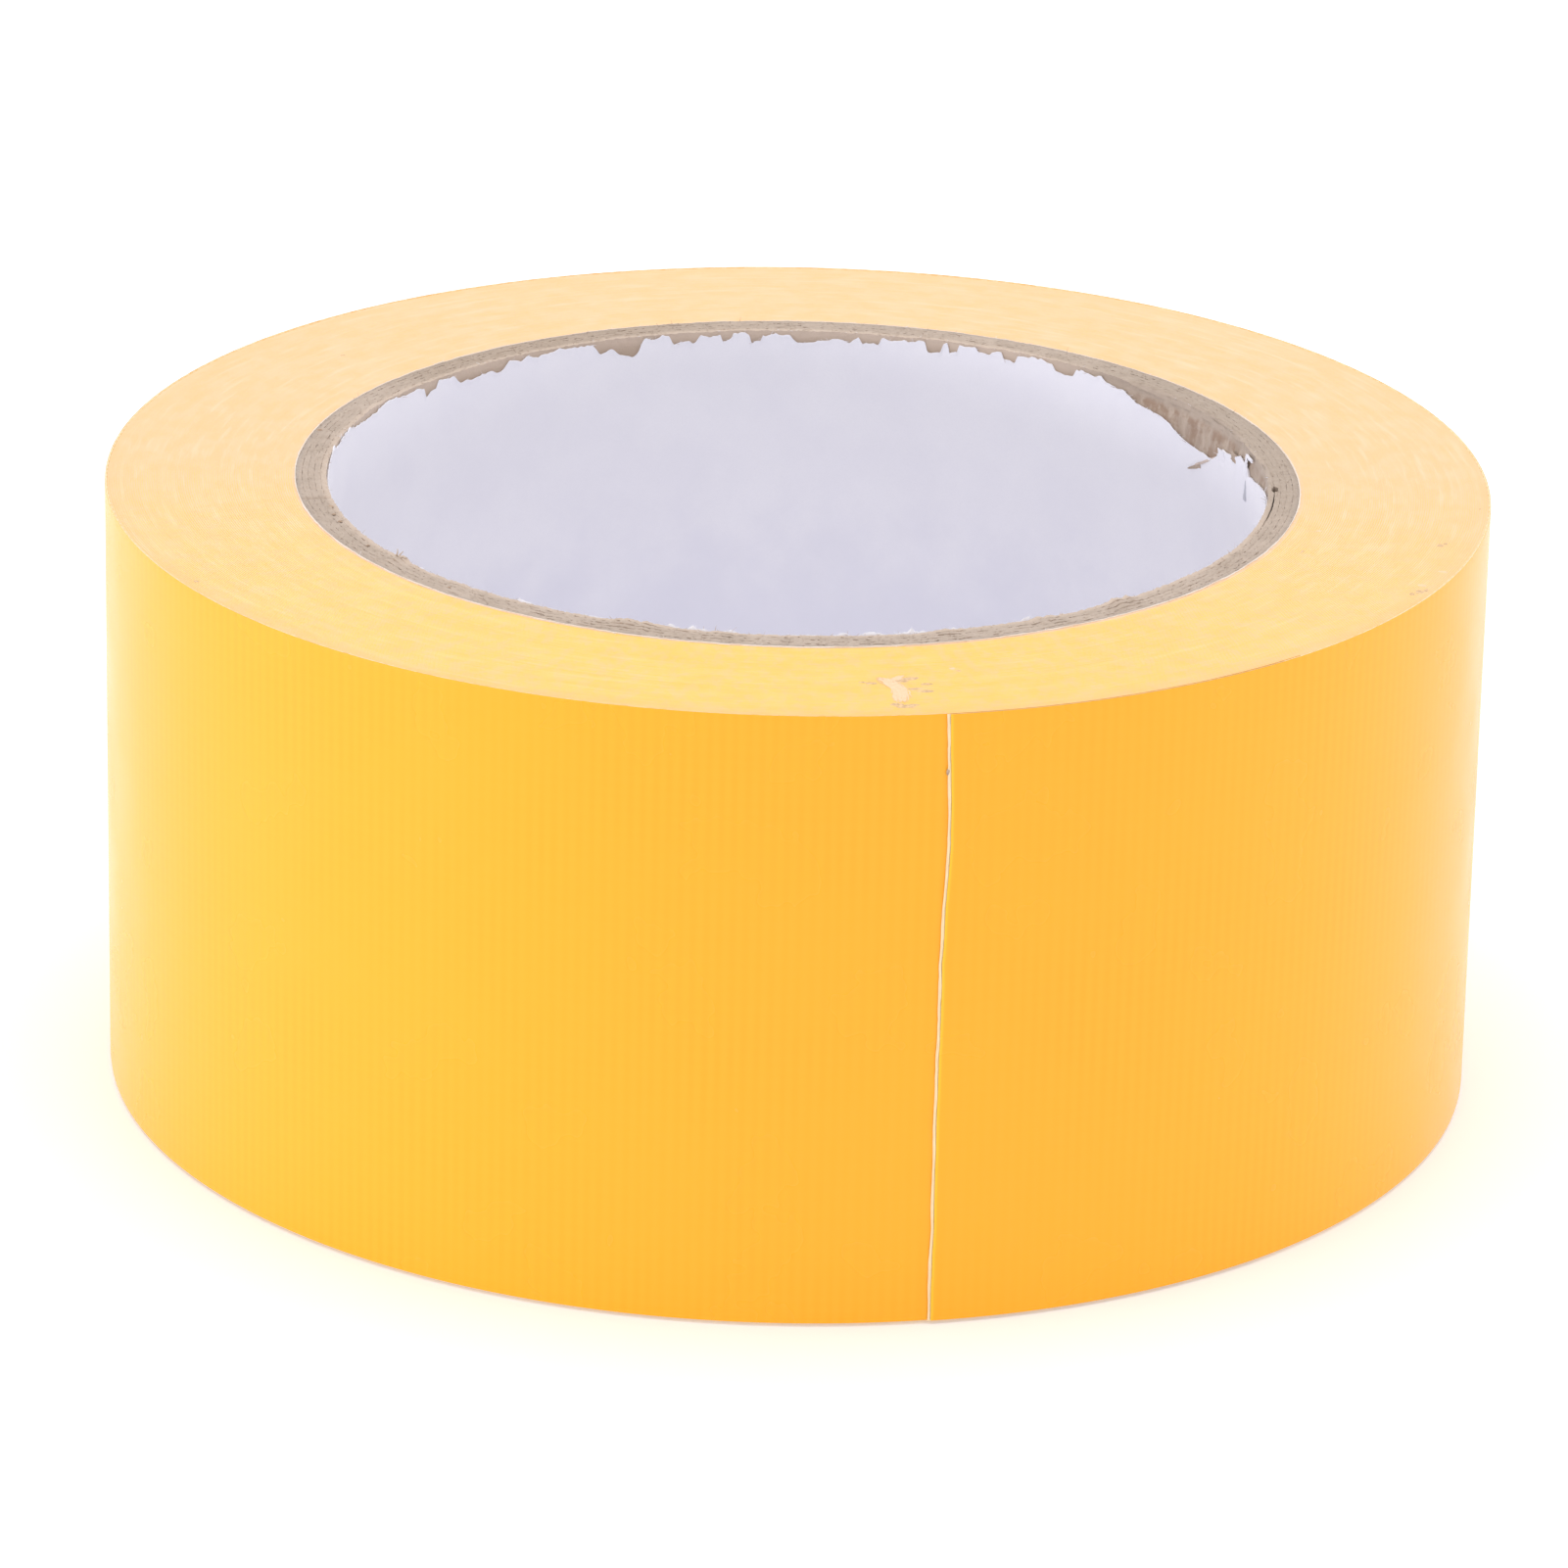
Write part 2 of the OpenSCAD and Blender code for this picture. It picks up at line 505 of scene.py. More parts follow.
def pack_look():
    """Cut sides of many turns: yellow where the film's outer face shows, painted lighter to offset the shade
    in the grooves between turns, then pale cloth and adhesive.
    """
    look = Look("tape_edges")
    along, across, _ = look.split(look.strand())
    place = look.place()
    radius = look.radius(place)
    patch = look.noise(look.rings(place, 20.0, 0.6), 1.0, 3.0, 0.55)
    color = look.mix(look.level(patch, 0.36, 0.64), (0.955, 0.590, 0.305), (0.965, 0.618, 0.365))
    streaks = look.noise(look.rings(place, 9.0, 2.0), 1.0, 2.0, 0.5)
    color = look.tint(color, (0.975, 0.70, 0.49), streaks, 0.52, 0.74, 0.5)
    color = look.tint(color, (0.955, 0.575, 0.25), streaks, 0.46, 0.28, 0.35)
    rim = look.level(radius, 53.4, 55.8, 0.0, 0.25)
    color = look.mix(rim, color, (0.96, 0.60, 0.30))
    drift = look.noise(look.times(along, 0.02), 1.0, 1.0, 0.5, "1D")
    length = look.plus(along, look.times(drift, 30.0))
    runs = look.level(look.noise(length, 0.17, 1.0, 0.6, "1D"), 0.56, 0.78, 0.0, 0.2)
    shift = look.noise(look.times(along, 0.6), 1.0, 1.0, 0.5, "1D")
    cell = look.math("PINGPONG", look.plus(along, look.times(shift, 2.0)), YARN_PITCH / 2)
    ends = look.level(cell, 0.14, 0.34, 0.0, 0.1)
    in_cloth = look.times(look.level(across, 0.1, 0.4), look.level(across, 1.0, 0.66))
    yarn = look.times(look.math("MAXIMUM", ends, runs), in_cloth)
    color = look.mix(yarn, color, (0.965, 0.72, 0.48))
    clumps = look.noise(look.rings(place, 55.0, 0.75), 1.0, 2.0, 0.5)
    # Painted light: the film's outer face in the grooves gets a lighter, lemon yellow than the film's own, to
    # make up for the shade it stands in.
    film = look.mix(look.level(clumps, 0.4, 0.7), (0.97, 0.77, 0.03), (0.97, 0.74, 0.19))
    bare = look.times(look.level(across, 0.12, 0.05), look.level(radius, 53.4, 55.8, 1.0, 0.65))
    color = look.mix(bare, color, film)
    normal = look.bump(look.plus(look.times(yarn, 0.3), streaks), 0.008)
    rough = look.level(patch, 0.3, 0.7, 0.42, 0.54)
    return look.finish(color, rough, normal)


def board_look():
    """Raw grey-brown board, its fibres round the core on the rim and upright where the liner is torn off."""
    look = Look("grey_board")
    along, across, _ = look.split(look.strand())
    place = look.place()
    x, y, height = look.split(place)
    radius = look.radius(place)
    bearing = look.math("ARCTAN2", y, x)
    in_tear = look.times(look.level(bearing, -0.3, 0.0), look.level(bearing, 1.05, 0.75))
    flat = look.join(look.times(along, 0.9), look.times(across, 5.0))
    fibre = look.noise(flat, 1.0, 4.0, 0.6)
    upright = look.join(look.times(along, 1.3), look.times(height, 0.5))
    strip = look.noise(upright, 1.0, 4.0, 0.55)
    coarse = look.noise(place, 0.45, 4.0, 0.6)
    fine = look.noise(place, 4.0, 3.0, 0.6)
    color = look.mix(look.level(coarse, 0.3, 0.7), (0.445, 0.350, 0.282), (0.53, 0.424, 0.350))
    color = look.tint(color, (0.60, 0.48, 0.39), fibre, 0.45, 0.68, 0.35)
    color = look.tint(color, (0.36, 0.27, 0.21), fibre, 0.42, 0.3, 0.04)
    # Painted shadow: a darker grey band along the board's outer edge, for the shade of the narrow gap by the
    # wrap.
    color = look.tint(color, (0.37, 0.31, 0.275), radius, 40.3, 40.62, 0.45)
    browner = look.times(look.level(bearing, 1.65, 1.95), look.level(bearing, 2.7, 2.4))
    color = look.mix(look.times(browner, 0.45), color, (0.35, 0.255, 0.185))
    lip = look.times(look.level(radius, 39.0, 38.35), look.level(in_tear, 0.0, 1.0, 0.6, 0.0))
    color = look.mix(lip, color, (0.67, 0.53, 0.43))
    color = look.mix(look.times(in_tear, 0.5), color, (0.40, 0.315, 0.25))
    patch = look.noise(place, 0.62, 3.0, 0.6)
    torn = look.mix(look.level(strip, 0.35, 0.65), (0.385, 0.285, 0.22), (0.50, 0.395, 0.315))
    torn = look.tint(torn, (0.30, 0.185, 0.12), patch, 0.47, 0.64, 0.85)
    torn = look.mix(in_tear, (0.45, 0.34, 0.26), torn)
    depth = look.level(in_tear, 0.0, 1.0, WIDTH - 0.25, WIDTH - 0.7)
    wall = look.times(look.level(height, depth, WIDTH - 1.3), look.level(radius, 39.0, 38.8))
    color = look.mix(look.times(wall, 0.85), color, torn)
    color = look.tint(color, (0.29, 0.20, 0.14), fine, 0.63, 0.76, 0.25)
    relief = look.plus(fibre, look.times(fine, 0.7))
    normal = look.bump(relief, 0.036)
    return look.finish(color, 0.85, normal, Sheen_Weight=0.15, Sheen_Roughness=0.5)


def paper_look(name, light, dark, gloss):
    """White paper with a soft mottle and a faint grain."""
    look = Look(name)
    place = look.place()
    cloud = look.noise(place, 0.16, 4.0, 0.55)
    grain = look.noise(place, 7.0, 3.0, 0.6)
    color = look.mix(look.level(cloud, 0.3, 0.7), dark, light)
    color = look.mix(look.level(grain, 0.35, 0.6, 0.25, 0.0), color, tuple(0.93 * c for c in dark))
    normal = look.bump(look.plus(look.times(grain, 0.15), cloud), 0.04)
    return look.finish(color, gloss, normal)


def liner_look():
    """The bore's smooth white paper, with painted shade making it greyer lower down in the bore."""
    look = Look("liner_paper")
    place = look.place()
    height = look.split(place)[2]
    cloud = look.noise(place, 0.16, 4.0, 0.55)
    grain = look.noise(place, 7.0, 3.0, 0.6)
    color = look.mix(look.level(cloud, 0.3, 0.7), (0.855, 0.838, 0.905), (0.885, 0.868, 0.925))
    # Painted shade: the paper is greyed towards the bottom of the bore, where less light reaches.
    painted_bore_shade = look.plus(height, look.times(cloud, 14.0))
    color = look.tint(color, (0.775, 0.765, 0.86), painted_bore_shade, 43.0, 29.0, 0.8)
    color = look.mix(look.level(grain, 0.35, 0.6, 0.2, 0.0), color, (0.80, 0.785, 0.86))
    normal = look.bump(look.plus(look.times(grain, 0.15), cloud), 0.04)
    return look.finish(color, 0.5, normal)


def cloth_look():
    """Cream yarns with fibres along them."""
    look = Look("cloth")
    along, around, _ = look.split(look.strand())
    stretched = look.join(look.times(along, 1.5), look.times(around, 5.0))
    fibre = look.noise(stretched, 1.0, 3.0, 0.6)
    color = look.mix(look.level(fibre, 0.3, 0.7), (0.90, 0.65, 0.37), (0.98, 0.80, 0.52))
    normal = look.bump(fibre, 0.02)
    return look.finish(color, 0.7, normal, Sheen_Weight=0.15, Sheen_Roughness=0.4)


def adhesive_look():
    """Tacky adhesive over the cloth, whose yarns show pale through it."""
    look = Look("adhesive")
    along, across, _ = look.split(look.strand())
    warp = look.level(look.math("PINGPONG", across, YARN_PITCH / 2), 0.2, 0.34)
    weft = look.level(look.math("PINGPONG", along, YARN_PITCH / 2), 0.2, 0.34)
    yarns = look.math("MAXIMUM", warp, weft)
    cloud = look.noise(look.place(), 0.35, 4.0, 0.6)
    gap = look.mix(look.level(cloud, 0.35, 0.65), (0.86, 0.58, 0.20), (0.90, 0.66, 0.30))
    color = look.mix(look.times(yarns, 0.75), gap, (0.93, 0.78, 0.52))
    rough = look.level(cloud, 0.3, 0.7, 0.18, 0.34)
    normal = look.bump(look.noise(look.strand(), 3.0, 3.0, 0.6), 0.02)
    return look.finish(color, rough, normal)


def speck_look(name, dark, light, gloss):
    """Small lumps of dust, cardboard crumbs or yarn fluff."""
    look = Look(name)
    spots = look.noise(look.place(), 3.5, 3.0, 0.6)
    color = look.mix(look.level(spots, 0.35, 0.65), dark, light)
    return look.finish(color, gloss, look.bump(spots, 0.05))


def floor_look():
    """Plain white paper sweep, bright enough to stay white beside the roll."""
    look = Look("pale_floor")
    cloud = look.noise(look.place(), 0.004, 2.0)
    color = look.mix(cloud, (0.84, 0.84, 0.84), (0.86, 0.86, 0.86))
    return look.finish(color, 0.6, Emission_Color=(1.0, 1.0, 1.0), Emission_Strength=0.25)


FILM = film_look()
PACK = pack_look()
BOARD = board_look()
LINER = liner_look()
# Painted shadow: grey paper colour for a strip that stands in for the shade under a fold of the liner.
PAINTED_CREASE_SHADOW = paper_look("painted_crease_shadow", (0.60, 0.59, 0.66), (0.50, 0.49, 0.56), 0.6)
SLIVER = paper_look("sliver_paper", (0.72, 0.61, 0.55), (0.58, 0.46, 0.40), 0.7)
WRAP = paper_look("wrap_paper", (0.84, 0.73, 0.64), (0.78, 0.66, 0.56), 0.6)
CLOTH = cloth_look()
ADHESIVE = adhesive_look()
DIRT_AND_SHADE = speck_look("dirt_and_shade", (0.62, 0.40, 0.23), (0.86, 0.60, 0.34), 0.8)
GRIME = speck_look("grime", (0.36, 0.24, 0.17), (0.52, 0.38, 0.28), 0.8)
FLUFF = speck_look("fluff", (0.93, 0.61, 0.37), (0.95, 0.67, 0.45), 0.7)


# ---------------- tape


def pack_height(total, part, seed):
    """Height of the pack's side face over its nominal plane, by angle along the tape and part of a turn."""
    arc = arc_length(total)
    turn = np.radians(total)
    radius = ROLL_R - TAPE_T * total / 360
    across = radius / 1.3 + 2 * np.cos(turn) + 20
    around = 2 * np.sin(turn) + 20
    swell = 0.022 * field_noise(across, around, seed + 3)
    wander = 0.005 * smooth_noise(arc / 60, seed) + 0.003 * smooth_noise(arc / 11, seed + 1)
    ends = 0.003 * smooth_noise(arc / 1.7, seed + 2)
    if part not in (1, 2):
        ends = 0.3 * ends
    return TURN_HEIGHTS[part] + swell + wander - 0.04 + ends


def pack_side(name, upper, seed):
    """Half of the pack's height, with every turn's edge standing at its own height on the side face."""
    columns = 384
    angles = np.linspace(0, 360, columns + 1)
    shell = Shell()
    face = WIDTH if upper else 0.0
    outward = 1 if upper else -1

    def row(turn, part):
        """One line of a turn's edge, all the way round."""
        depth = TAPE_T * (turn + 1 + TURN_SHARES[part])
        # The first turn keeps clear of the loose end over it.
        if turn == 0 and part < 2:
            depth = depth + (FILM_T + 0.005) * (angles < TAB_ANGLE + 3)
        # The last line of a turn is the first line of the next.
        total = angles + 360 * (turn + (part == 3))
        z = face + outward * pack_height(total, part if part < 3 else 0, seed)
        return on_tape(angles, depth, z)

    for turn in range(PACK_TURNS):
        arc = arc_length(angles + 360 * turn)
        points = np.stack([row(turn, part) for part in range(4)])
        uv = np.stack([np.stack([arc, np.full_like(arc, share)], -1) for share in TURN_SHARES])
        shell.grid(points, uv, flip=not upper)

    def loop(edge, turn, column):
        """One row of the spiral, closed by the step across a turn where that row ends."""
        step = [row(turn, part)[column] for part in (2, 1)]
        return np.concatenate([edge, step, edge[:1]])

    outer = loop(row(0, 0), 0, 0)
    inner = loop(row(PACK_TURNS - 1, 3), PACK_TURNS - 1, columns)
    even = np.linspace(0, 360, len(outer)) + END_ANGLE
    middle = WIDTH / 2
    ledge = inner.copy()
    ledge[:, :2] *= ((CORE_R + 0.01) / np.hypot(inner[:, 0], inner[:, 1]))[:, None]
    walls = ((outer, [], PACK_OUTER_R, upper), (ledge, [inner], PACK_INNER_R, not upper))
    for ring, start, radius, turned in walls:
        shallow = ring.copy()
        shallow[:, 2] = face - outward * 0.6
        deep = ring.copy()
        deep[:, 2] = middle + outward * 0.5
        last = on_ring(even, radius, middle)
        points = np.stack(start + [ring, shallow, deep, last])
        shell.grid(points, np.full(points.shape[:2] + (2,), 0.5), flip=not turned)
    rims = [on_ring(even, radius, middle) for radius in (PACK_OUTER_R, PACK_INNER_R)]
    shell.grid(np.stack(rims), flip=upper)
    return shell.piece(name, "roll", "tape_edges", PACK, ["wound_tape"])


def rows_with_fine_edges(count):
    """Heights across the tape, close together near both edges."""
    edge = np.array([0, 0.04, 0.12, 0.3, 0.7, 1.5])
    middle = np.linspace(3, WIDTH - 3, count)
    return np.concatenate([edge, middle, (WIDTH - edge)[::-1]])


def film_relief(arc, z):
    """How far the film lies under its outer face: over the crosswise yarns it stands proud."""
    phase = arc / YARN_PITCH + 0.25 * smooth_noise(arc / 6, 11)
    strength = 0.6 + 0.4 * field_noise(arc / 5, z / 12, 12)
    ribs = (0.5 - 0.5 * np.cos(2 * math.pi * phase)) * strength
    waves = 0.5 + 0.5 * field_noise(arc / 11 + 40, z / 23, 13)
    edge = np.minimum(z, WIDTH - z)
    rounding = 0.022 * (1 - step_up(edge, 0, 0.35))
    return 0.010 * ribs + 0.012 * waves + rounding


def tape_sheet(degrees, z, outer, inner, arc, across):
    """A closed sheet of the tape between two depths. arc and across are its UVs."""
    shell = Shell()
    slab(shell, on_tape(degrees, outer, z), on_tape(degrees, inner, z), np.stack([arc, across], -1))
    return shell


def film_strip(name, start, stop, cut, body, nodes):
    """The film between two angles. With cut, it starts along the wandering cut edge."""
    angles = np.linspace(start, stop, int(arc_length(stop - start) * 4) + 1)
    if cut:
        angles = np.concatenate([[0, 0.03, 0.08, 0.14, 0.2], angles[1:]])
    a, z = np.meshgrid(angles, rows_with_fine_edges(60 if cut else 40))
    arc = arc_length(a)
    outer = film_relief(arc, z)
    if cut:
        outer = outer + 0.04 * (1 - step_up(arc, -0.12, 0.2))
        a = a + (1 - step_up(a, 0, 3.0)) * (cut_wander(z) + 0.14)
    shell = tape_sheet(a, z, outer, FILM_T, arc, z)
    return shell.piece(name, body, "yellow_film", FILM, nodes)


def last_turn_layer(node, depth, thick, material, slot, seed):
    """Cloth or adhesive of the last turn; only its edges show."""
    angles = np.linspace(TAB_ANGLE, 360, 900)
    heights = np.array([0, 0.2, 1, WIDTH / 2, WIDTH - 1, WIDTH - 0.2, WIDTH])
    a, z = np.meshgrid(angles, heights)
    fray = 0.02 * smooth_noise(arc_length(angles) / 0.8, seed) - 0.025
    z[0] -= fray
    z[-1] += fray
    shell = tape_sheet(a, z, depth, depth + thick, arc_length(a), z)
    return shell.piece(node + "_ring", "roll", slot, material, [node])


def loose_cloth():
    """Woven yarns of the loose end, with the last crosswise yarn bare and frayed along the cut."""
    shell = Shell()
    tab_arc = arc_length(TAB_ANGLE)
    zs = np.linspace(0.02, WIDTH - 0.02, 26)
    for number in range(1, int(tab_arc / YARN_PITCH)):
        arc = number * YARN_PITCH + 0.05 * smooth_noise(zs / 4 + number * 7.3, 51)
        path = on_tape(angle_at(arc), FILM_T + 0.02, zs)
        tube(shell, path, 0.25, 8, 0.08, outward_at(angle_at(number) + END_ANGLE))
    arcs = np.linspace(0.1, tab_arc, 60)
    for number in range(int(WIDTH / YARN_PITCH)):
        z = (number + 0.5) * YARN_PITCH + 0.06 * smooth_noise(arcs / 3 + number * 5.1, 52)
        start = arcs + 0.12 * math.sin(number * 2.7) * (1 - step_up(arcs, 0, 2))
        angle = angle_at(start) + cut_wander(z) * (1 - step_up(arcs, 0, 3))
        path = on_tape(angle, FILM_T + 0.06, z)
        tube(shell, path, 0.25, 8, 0.08, outward_at(angle_at(arcs) + END_ANGLE))
    for strand in range(3):
        heights = np.linspace(0.0, WIDTH, 160)
        sway = 0.02 * np.sin(heights * (1.1 + 0.2 * strand) + strand * 2.1)
        angle = cut_wander(heights) + angle_at(sway + (strand - 1) * 0.05)
        depth = 0.085 + 0.02 * np.cos(heights * 1.3 + strand * 2.1)
        radius = 0.062 + 0.012 * smooth_noise(heights / 0.7, 60 + strand)
        tube(shell, on_tape(angle, depth, heights), radius, 7)
    nodes = ["tape_end_weft_yarns", "tape_end_warp_yarns"]
    return shell.piece("loose_end_yarns", None, "cloth", CLOTH, nodes)


def loose_adhesive():
    """Adhesive on the inside of the loose end, following the yarns above it."""
    tab_arc = arc_length(TAB_ANGLE)
    arcs = np.linspace(0.0, tab_arc, int(tab_arc * 4) + 1)
    zs = np.linspace(0.0, WIDTH, int(WIDTH * 4) + 1)
    s, z = np.meshgrid(arcs, zs)
    a = angle_at(s) + cut_wander(z) * (1 - step_up(s, 0, 3))
    over_weft = 0.5 + 0.5 * np.cos(2 * math.pi * s / YARN_PITCH)
    over_warp = 0.5 - 0.5 * np.cos(2 * math.pi * z / YARN_PITCH)
    lumps = 0.5 + 0.5 * field_noise(s / 2.2, z / 2.2, 71)
    inner = 0.125 + 0.022 * np.maximum(over_weft * 0.7, over_warp) + 0.012 * lumps
    shell = tape_sheet(a, z, 0.105, inner, s, z + YARN_PITCH / 2)
    return shell.piece("loose_end_adhesive", None, "adhesive", ADHESIVE, ["tape_end_adhesive"])


def bend_at_crease(piece):
    """Bakes the piece's placement into its mesh; the loose end is not bent."""
    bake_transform(piece)


# ---------------- core


def signed(degrees):
    """The same angles, from -180 to 180."""
    return (np.asarray(degrees, float) + 180) % 360 - 180


def tear_depth(degrees):
    """How far down the liner is torn away on the right of the bore."""
    angles, depths = zip(*TEAR)
    return np.interp(signed(degrees), angles, depths)


def rim_relief(degrees, ply):
    """Height of the board's rim for one ply, before its fibres."""
    height = 0.05 * ring_noise(degrees, 60, 80) + 0.03 * ring_noise(degrees, 170, 87)
    height = height + 0.015 * ring_noise(degrees, 170, 81 + ply)
    for angle, half_width, size in RIM_BUMPS:
        ragged = 0.7 + 0.3 * ring_noise(degrees, 500, 85)
        height = height + size * ragged * hill(degrees, angle, half_width) * (1.0, 0.8, 0.45, 0.2, 0.1)[ply]
    return height


def board_ply(number):
    """One ply of board, with a fibrous rim and faint broken grooves where it meets its neighbours."""
    angles = np.linspace(0, 360, 1440 + 1)
    r_in, r_out = PLY_R[number], PLY_R[number + 1]
    torn = tear_depth(angles)
    worn = step_up(torn, 0.3, 2.0) * (1 - 0.9 * hill(angles, 13.5, 7))
    split = hill(angles, -9, 9.5)
    hole = step_up(hill(angles, -1.7, 1.4), 0.1, 0.6)
    seed = 90 + number * 7
    edge_seeds = {0.0: 60 + number, 1.0: 61 + number}

    def rim_point(share, upper):
        """One circle of the rim, at a share of the ply's thickness from its inner wall."""
        lift = 0.045 * ring_noise(angles, 1700, seed + int(share * 4)) - 0.035
        lift = lift + 0.035 * ring_noise(angles, 700, seed + 40 + int(share * 4))
        if share in edge_seeds:
            lift = lift - 0.008 - 0.014 * step_up(ring_noise(angles, 34, edge_seeds[share]), -0.1, 0.9)
        r = r_in + (r_out - r_in) * share + 0.03 * ring_noise(angles, 900, seed + 80 + int(share * 4))
        r = np.clip(r, r_in, r_out)
        if not upper:
            return on_ring(angles, r, 0.02 * ring_noise(angles, 90, 200 + number) - lift)
        lift = lift + rim_relief(angles, number)
        for place, half_width, depth in RIM_CRACKS:
            lift = lift - depth * hill(angles, place, half_width) * (0.5 if number == 0 else 1.0)
        if number == 0:
            r = r + 0.3 * worn * (1 - share) - (0.09 * split + 0.2 * hole) * share
            lift = lift - 0.6 * worn * (1 - share) ** 1.6
        if number == 1:
            r = r + (0.05 * split + 0.3 * hole) * (1 - share)
            lift = lift - 0.12 * worn * (1 - share) ** 2
        return on_ring(angles, r, WIDTH + lift)

    def bare_wall(below):
        """The inner wall at a depth below the rim: rough and standing back where the liner is torn off."""
        r = np.full_like(angles, r_in)
        if number == 0:
            bare = step_up(torn - below, -0.6, 0.4)
            upright = 0.07 * ring_noise(angles, 240, 210) + 0.015 * ring_noise(angles, 800, 211)
            patches = 0.08 * field_noise(angles * 0.9, below / 0.7, 212)
            r = r + 0.3 * worn * (1 - step_up(below, 0, 2.5)) + bare * (0.05 + np.abs(upright) + patches)
            r = np.maximum(r, r_in)
        if number == 1:
            r = r + (0.05 * split + 0.3 * hole) * (1 - step_up(below, 0, 2.5))
        return on_ring(angles, r, WIDTH - below)

    profile = []
    for below in (WIDTH / 2, 3.0, 1.2, 0.3):
        r = np.full_like(angles, r_out)
        if number == 0:
            r = r - (0.09 * split + 0.2 * hole) * (1 - step_up(below, 0, 2.5))
        profile.append(on_ring(angles, r, WIDTH - below))
    for share in (1.0, 0.8, 0.6, 0.4, 0.2, 0.0):
        profile.append(rim_point(share, True))
    for below in (0.3, 0.6, 0.9, 1.2, 1.5, 1.8, 2.1, 2.4, 2.8, 3.2, 3.6, 4.2, 5.0, 7.0):
        profile.append(bare_wall(below))
    for below in (WIDTH / 2, WIDTH - 0.4):
        profile.append(bare_wall(below))
    for share in (0.0, 0.2, 0.4, 0.6, 0.8, 1.0):
        profile.append(rim_point(share, False))
    profile.append(on_ring(angles, r_out, 0.4))
    profile.append(profile[0])
    points = np.stack(profile)
    arc = np.broadcast_to(np.radians(angles) * r_in, points.shape[:2])
    across = np.hypot(points[..., 0], points[..., 1]) + points[..., 2]
    shell = Shell()
    shell.grid(points, np.stack([arc, across], -1))
    name = "board_ply_%d" % (number + 1)
    return shell.piece(name, "roll", "grey_board", BOARD, ["core_ply_%d" % (number + 1)], sharp=60)


def liner_top(degrees):
    """Height of the liner's ragged upper edge."""
    nibbles = 0.32 + 0.16 * ring_noise(degrees, 110, 301) + 0.14 * ring_noise(degrees, 300, 302)
    nibbles = nibbles + 0.09 * ring_noise(degrees, 800, 303)
    steady = step_up(tear_depth(degrees), 0.2, 1.2)
    nibbles = nibbles * (1 - 0.75 * steady) + 0.24 * steady
    for angle, half_width, depth in LINER_BITES:
        ragged = 0.85 + 0.25 * ring_noise(degrees, 260, 304)
        away = np.abs(signed(np.asarray(degrees, float) - angle))
        nibbles = nibbles + depth * ragged * (1 - step_up(away, half_width * 0.6, half_width))
    calm = 1 - 0.7 * hill(degrees, -90, 80)
    peaks = 0.0
    for angle, half_width, height in LINER_PEAKS:
        ragged = 0.5 + 0.6 * np.abs(ring_noise(degrees, 420, 305)) + 0.3 * ring_noise(degrees, 1400, 306)
        peaks = peaks + height * ragged * hill(degrees, angle, half_width)
    return WIDTH - np.maximum(nibbles, 0.05) * calm - tear_depth(degrees) + peaks


def liner():
    """White paper inside the bore, torn along its upper edge and buckled a little below the tear."""
    angles = np.linspace(0, 360, 2160 + 1)
    top = liner_top(angles)
    bottom = 0.25 + 0.12 * ring_noise(angles, 120, 311) + 0.08 * ring_noise(angles, 500, 312)
    curl = 0.03 + 0.06 * np.abs(ring_noise(angles, 220, 313))
    near_tear = hill(angles, 15, 26)
    levels = (46, 40, 32, 25, 18, 12, 8, 6, 5, 4.4, 3.9, 3.4, 2.9, 2.4, 1.9, 1.5, 1.1)
    rows = []
    for below in levels + (0.8, 0.5, 0.3, 0.15, 0.0):
        z = top - below if below < 12 else np.full_like(top, WIDTH - below)
        r = BORE_R + 0.02 + 0.02 * field_noise(angles / 9, z / 11, 314)
        r = r - near_tear * 0.05 * (1 - step_up(below, 1, 5)) * (1 + field_noise(angles / 1.6, z / 2.5, 315))
        r = r - curl * (1 - step_up(below, 0, 0.5))
        rows.append(on_ring(angles, r, z))
    rows.insert(0, on_ring(angles, BORE_R + 0.02, bottom))
    rows.append(on_ring(angles, BORE_R + 0.05 - curl * 0.8, top + 0.02))
    for below in (0.1, 12, 40):
        rows.append(on_ring(angles, LINER_R - 0.002, top - below))
    rows.append(on_ring(angles, LINER_R - 0.02, bottom))
    rows.append(rows[0])
    shell = Shell()
    shell.grid(np.stack(rows), flip=True)
    return shell.piece("liner_paper", "roll", "white_paper", LINER, ["core_liner"], sharp=50)


def wrap():
    """White paper between the board and the first turn, its edge folded a little over the tape."""
    angles = np.linspace(0, 360, 1440 + 1)
    inner = PLY_R[5]
    lip = 0.035 + 0.045 * ring_noise(angles, 150, 321) + 0.03 * ring_noise(angles, 700, 322)
    lip = np.maximum(lip, 0.006)
    rise = 0.01 + 0.03 * ring_noise(angles, 240, 323) + 0.02 * ring_noise(angles, 900, 324)
    rows = []
    for sign, face in ((1, WIDTH), (-1, 0.0)):
        half = [
            on_ring(angles, CORE_R, face - sign * 0.8),
            on_ring(angles, CORE_R + 0.2 * lip, face - sign * 0.25),
            on_ring(angles, CORE_R + lip, face + sign * rise * 0.4 - sign * 0.03),
            on_ring(angles, CORE_R + 0.4 * lip, face + sign * rise),
            on_ring(angles, inner + 0.02, face + sign * rise * 0.7),
            on_ring(angles, inner, face - sign * 0.15),
            on_ring(angles, inner, face - sign * 0.8),
        ]
        rows += half if sign > 0 else half[::-1]
    rows.append(rows[0])
    shell = Shell()
    shell.grid(np.stack(rows))
    return shell.piece("wrap_paper", "roll", "white_paper", WRAP, ["core_wrap"], sharp=60)


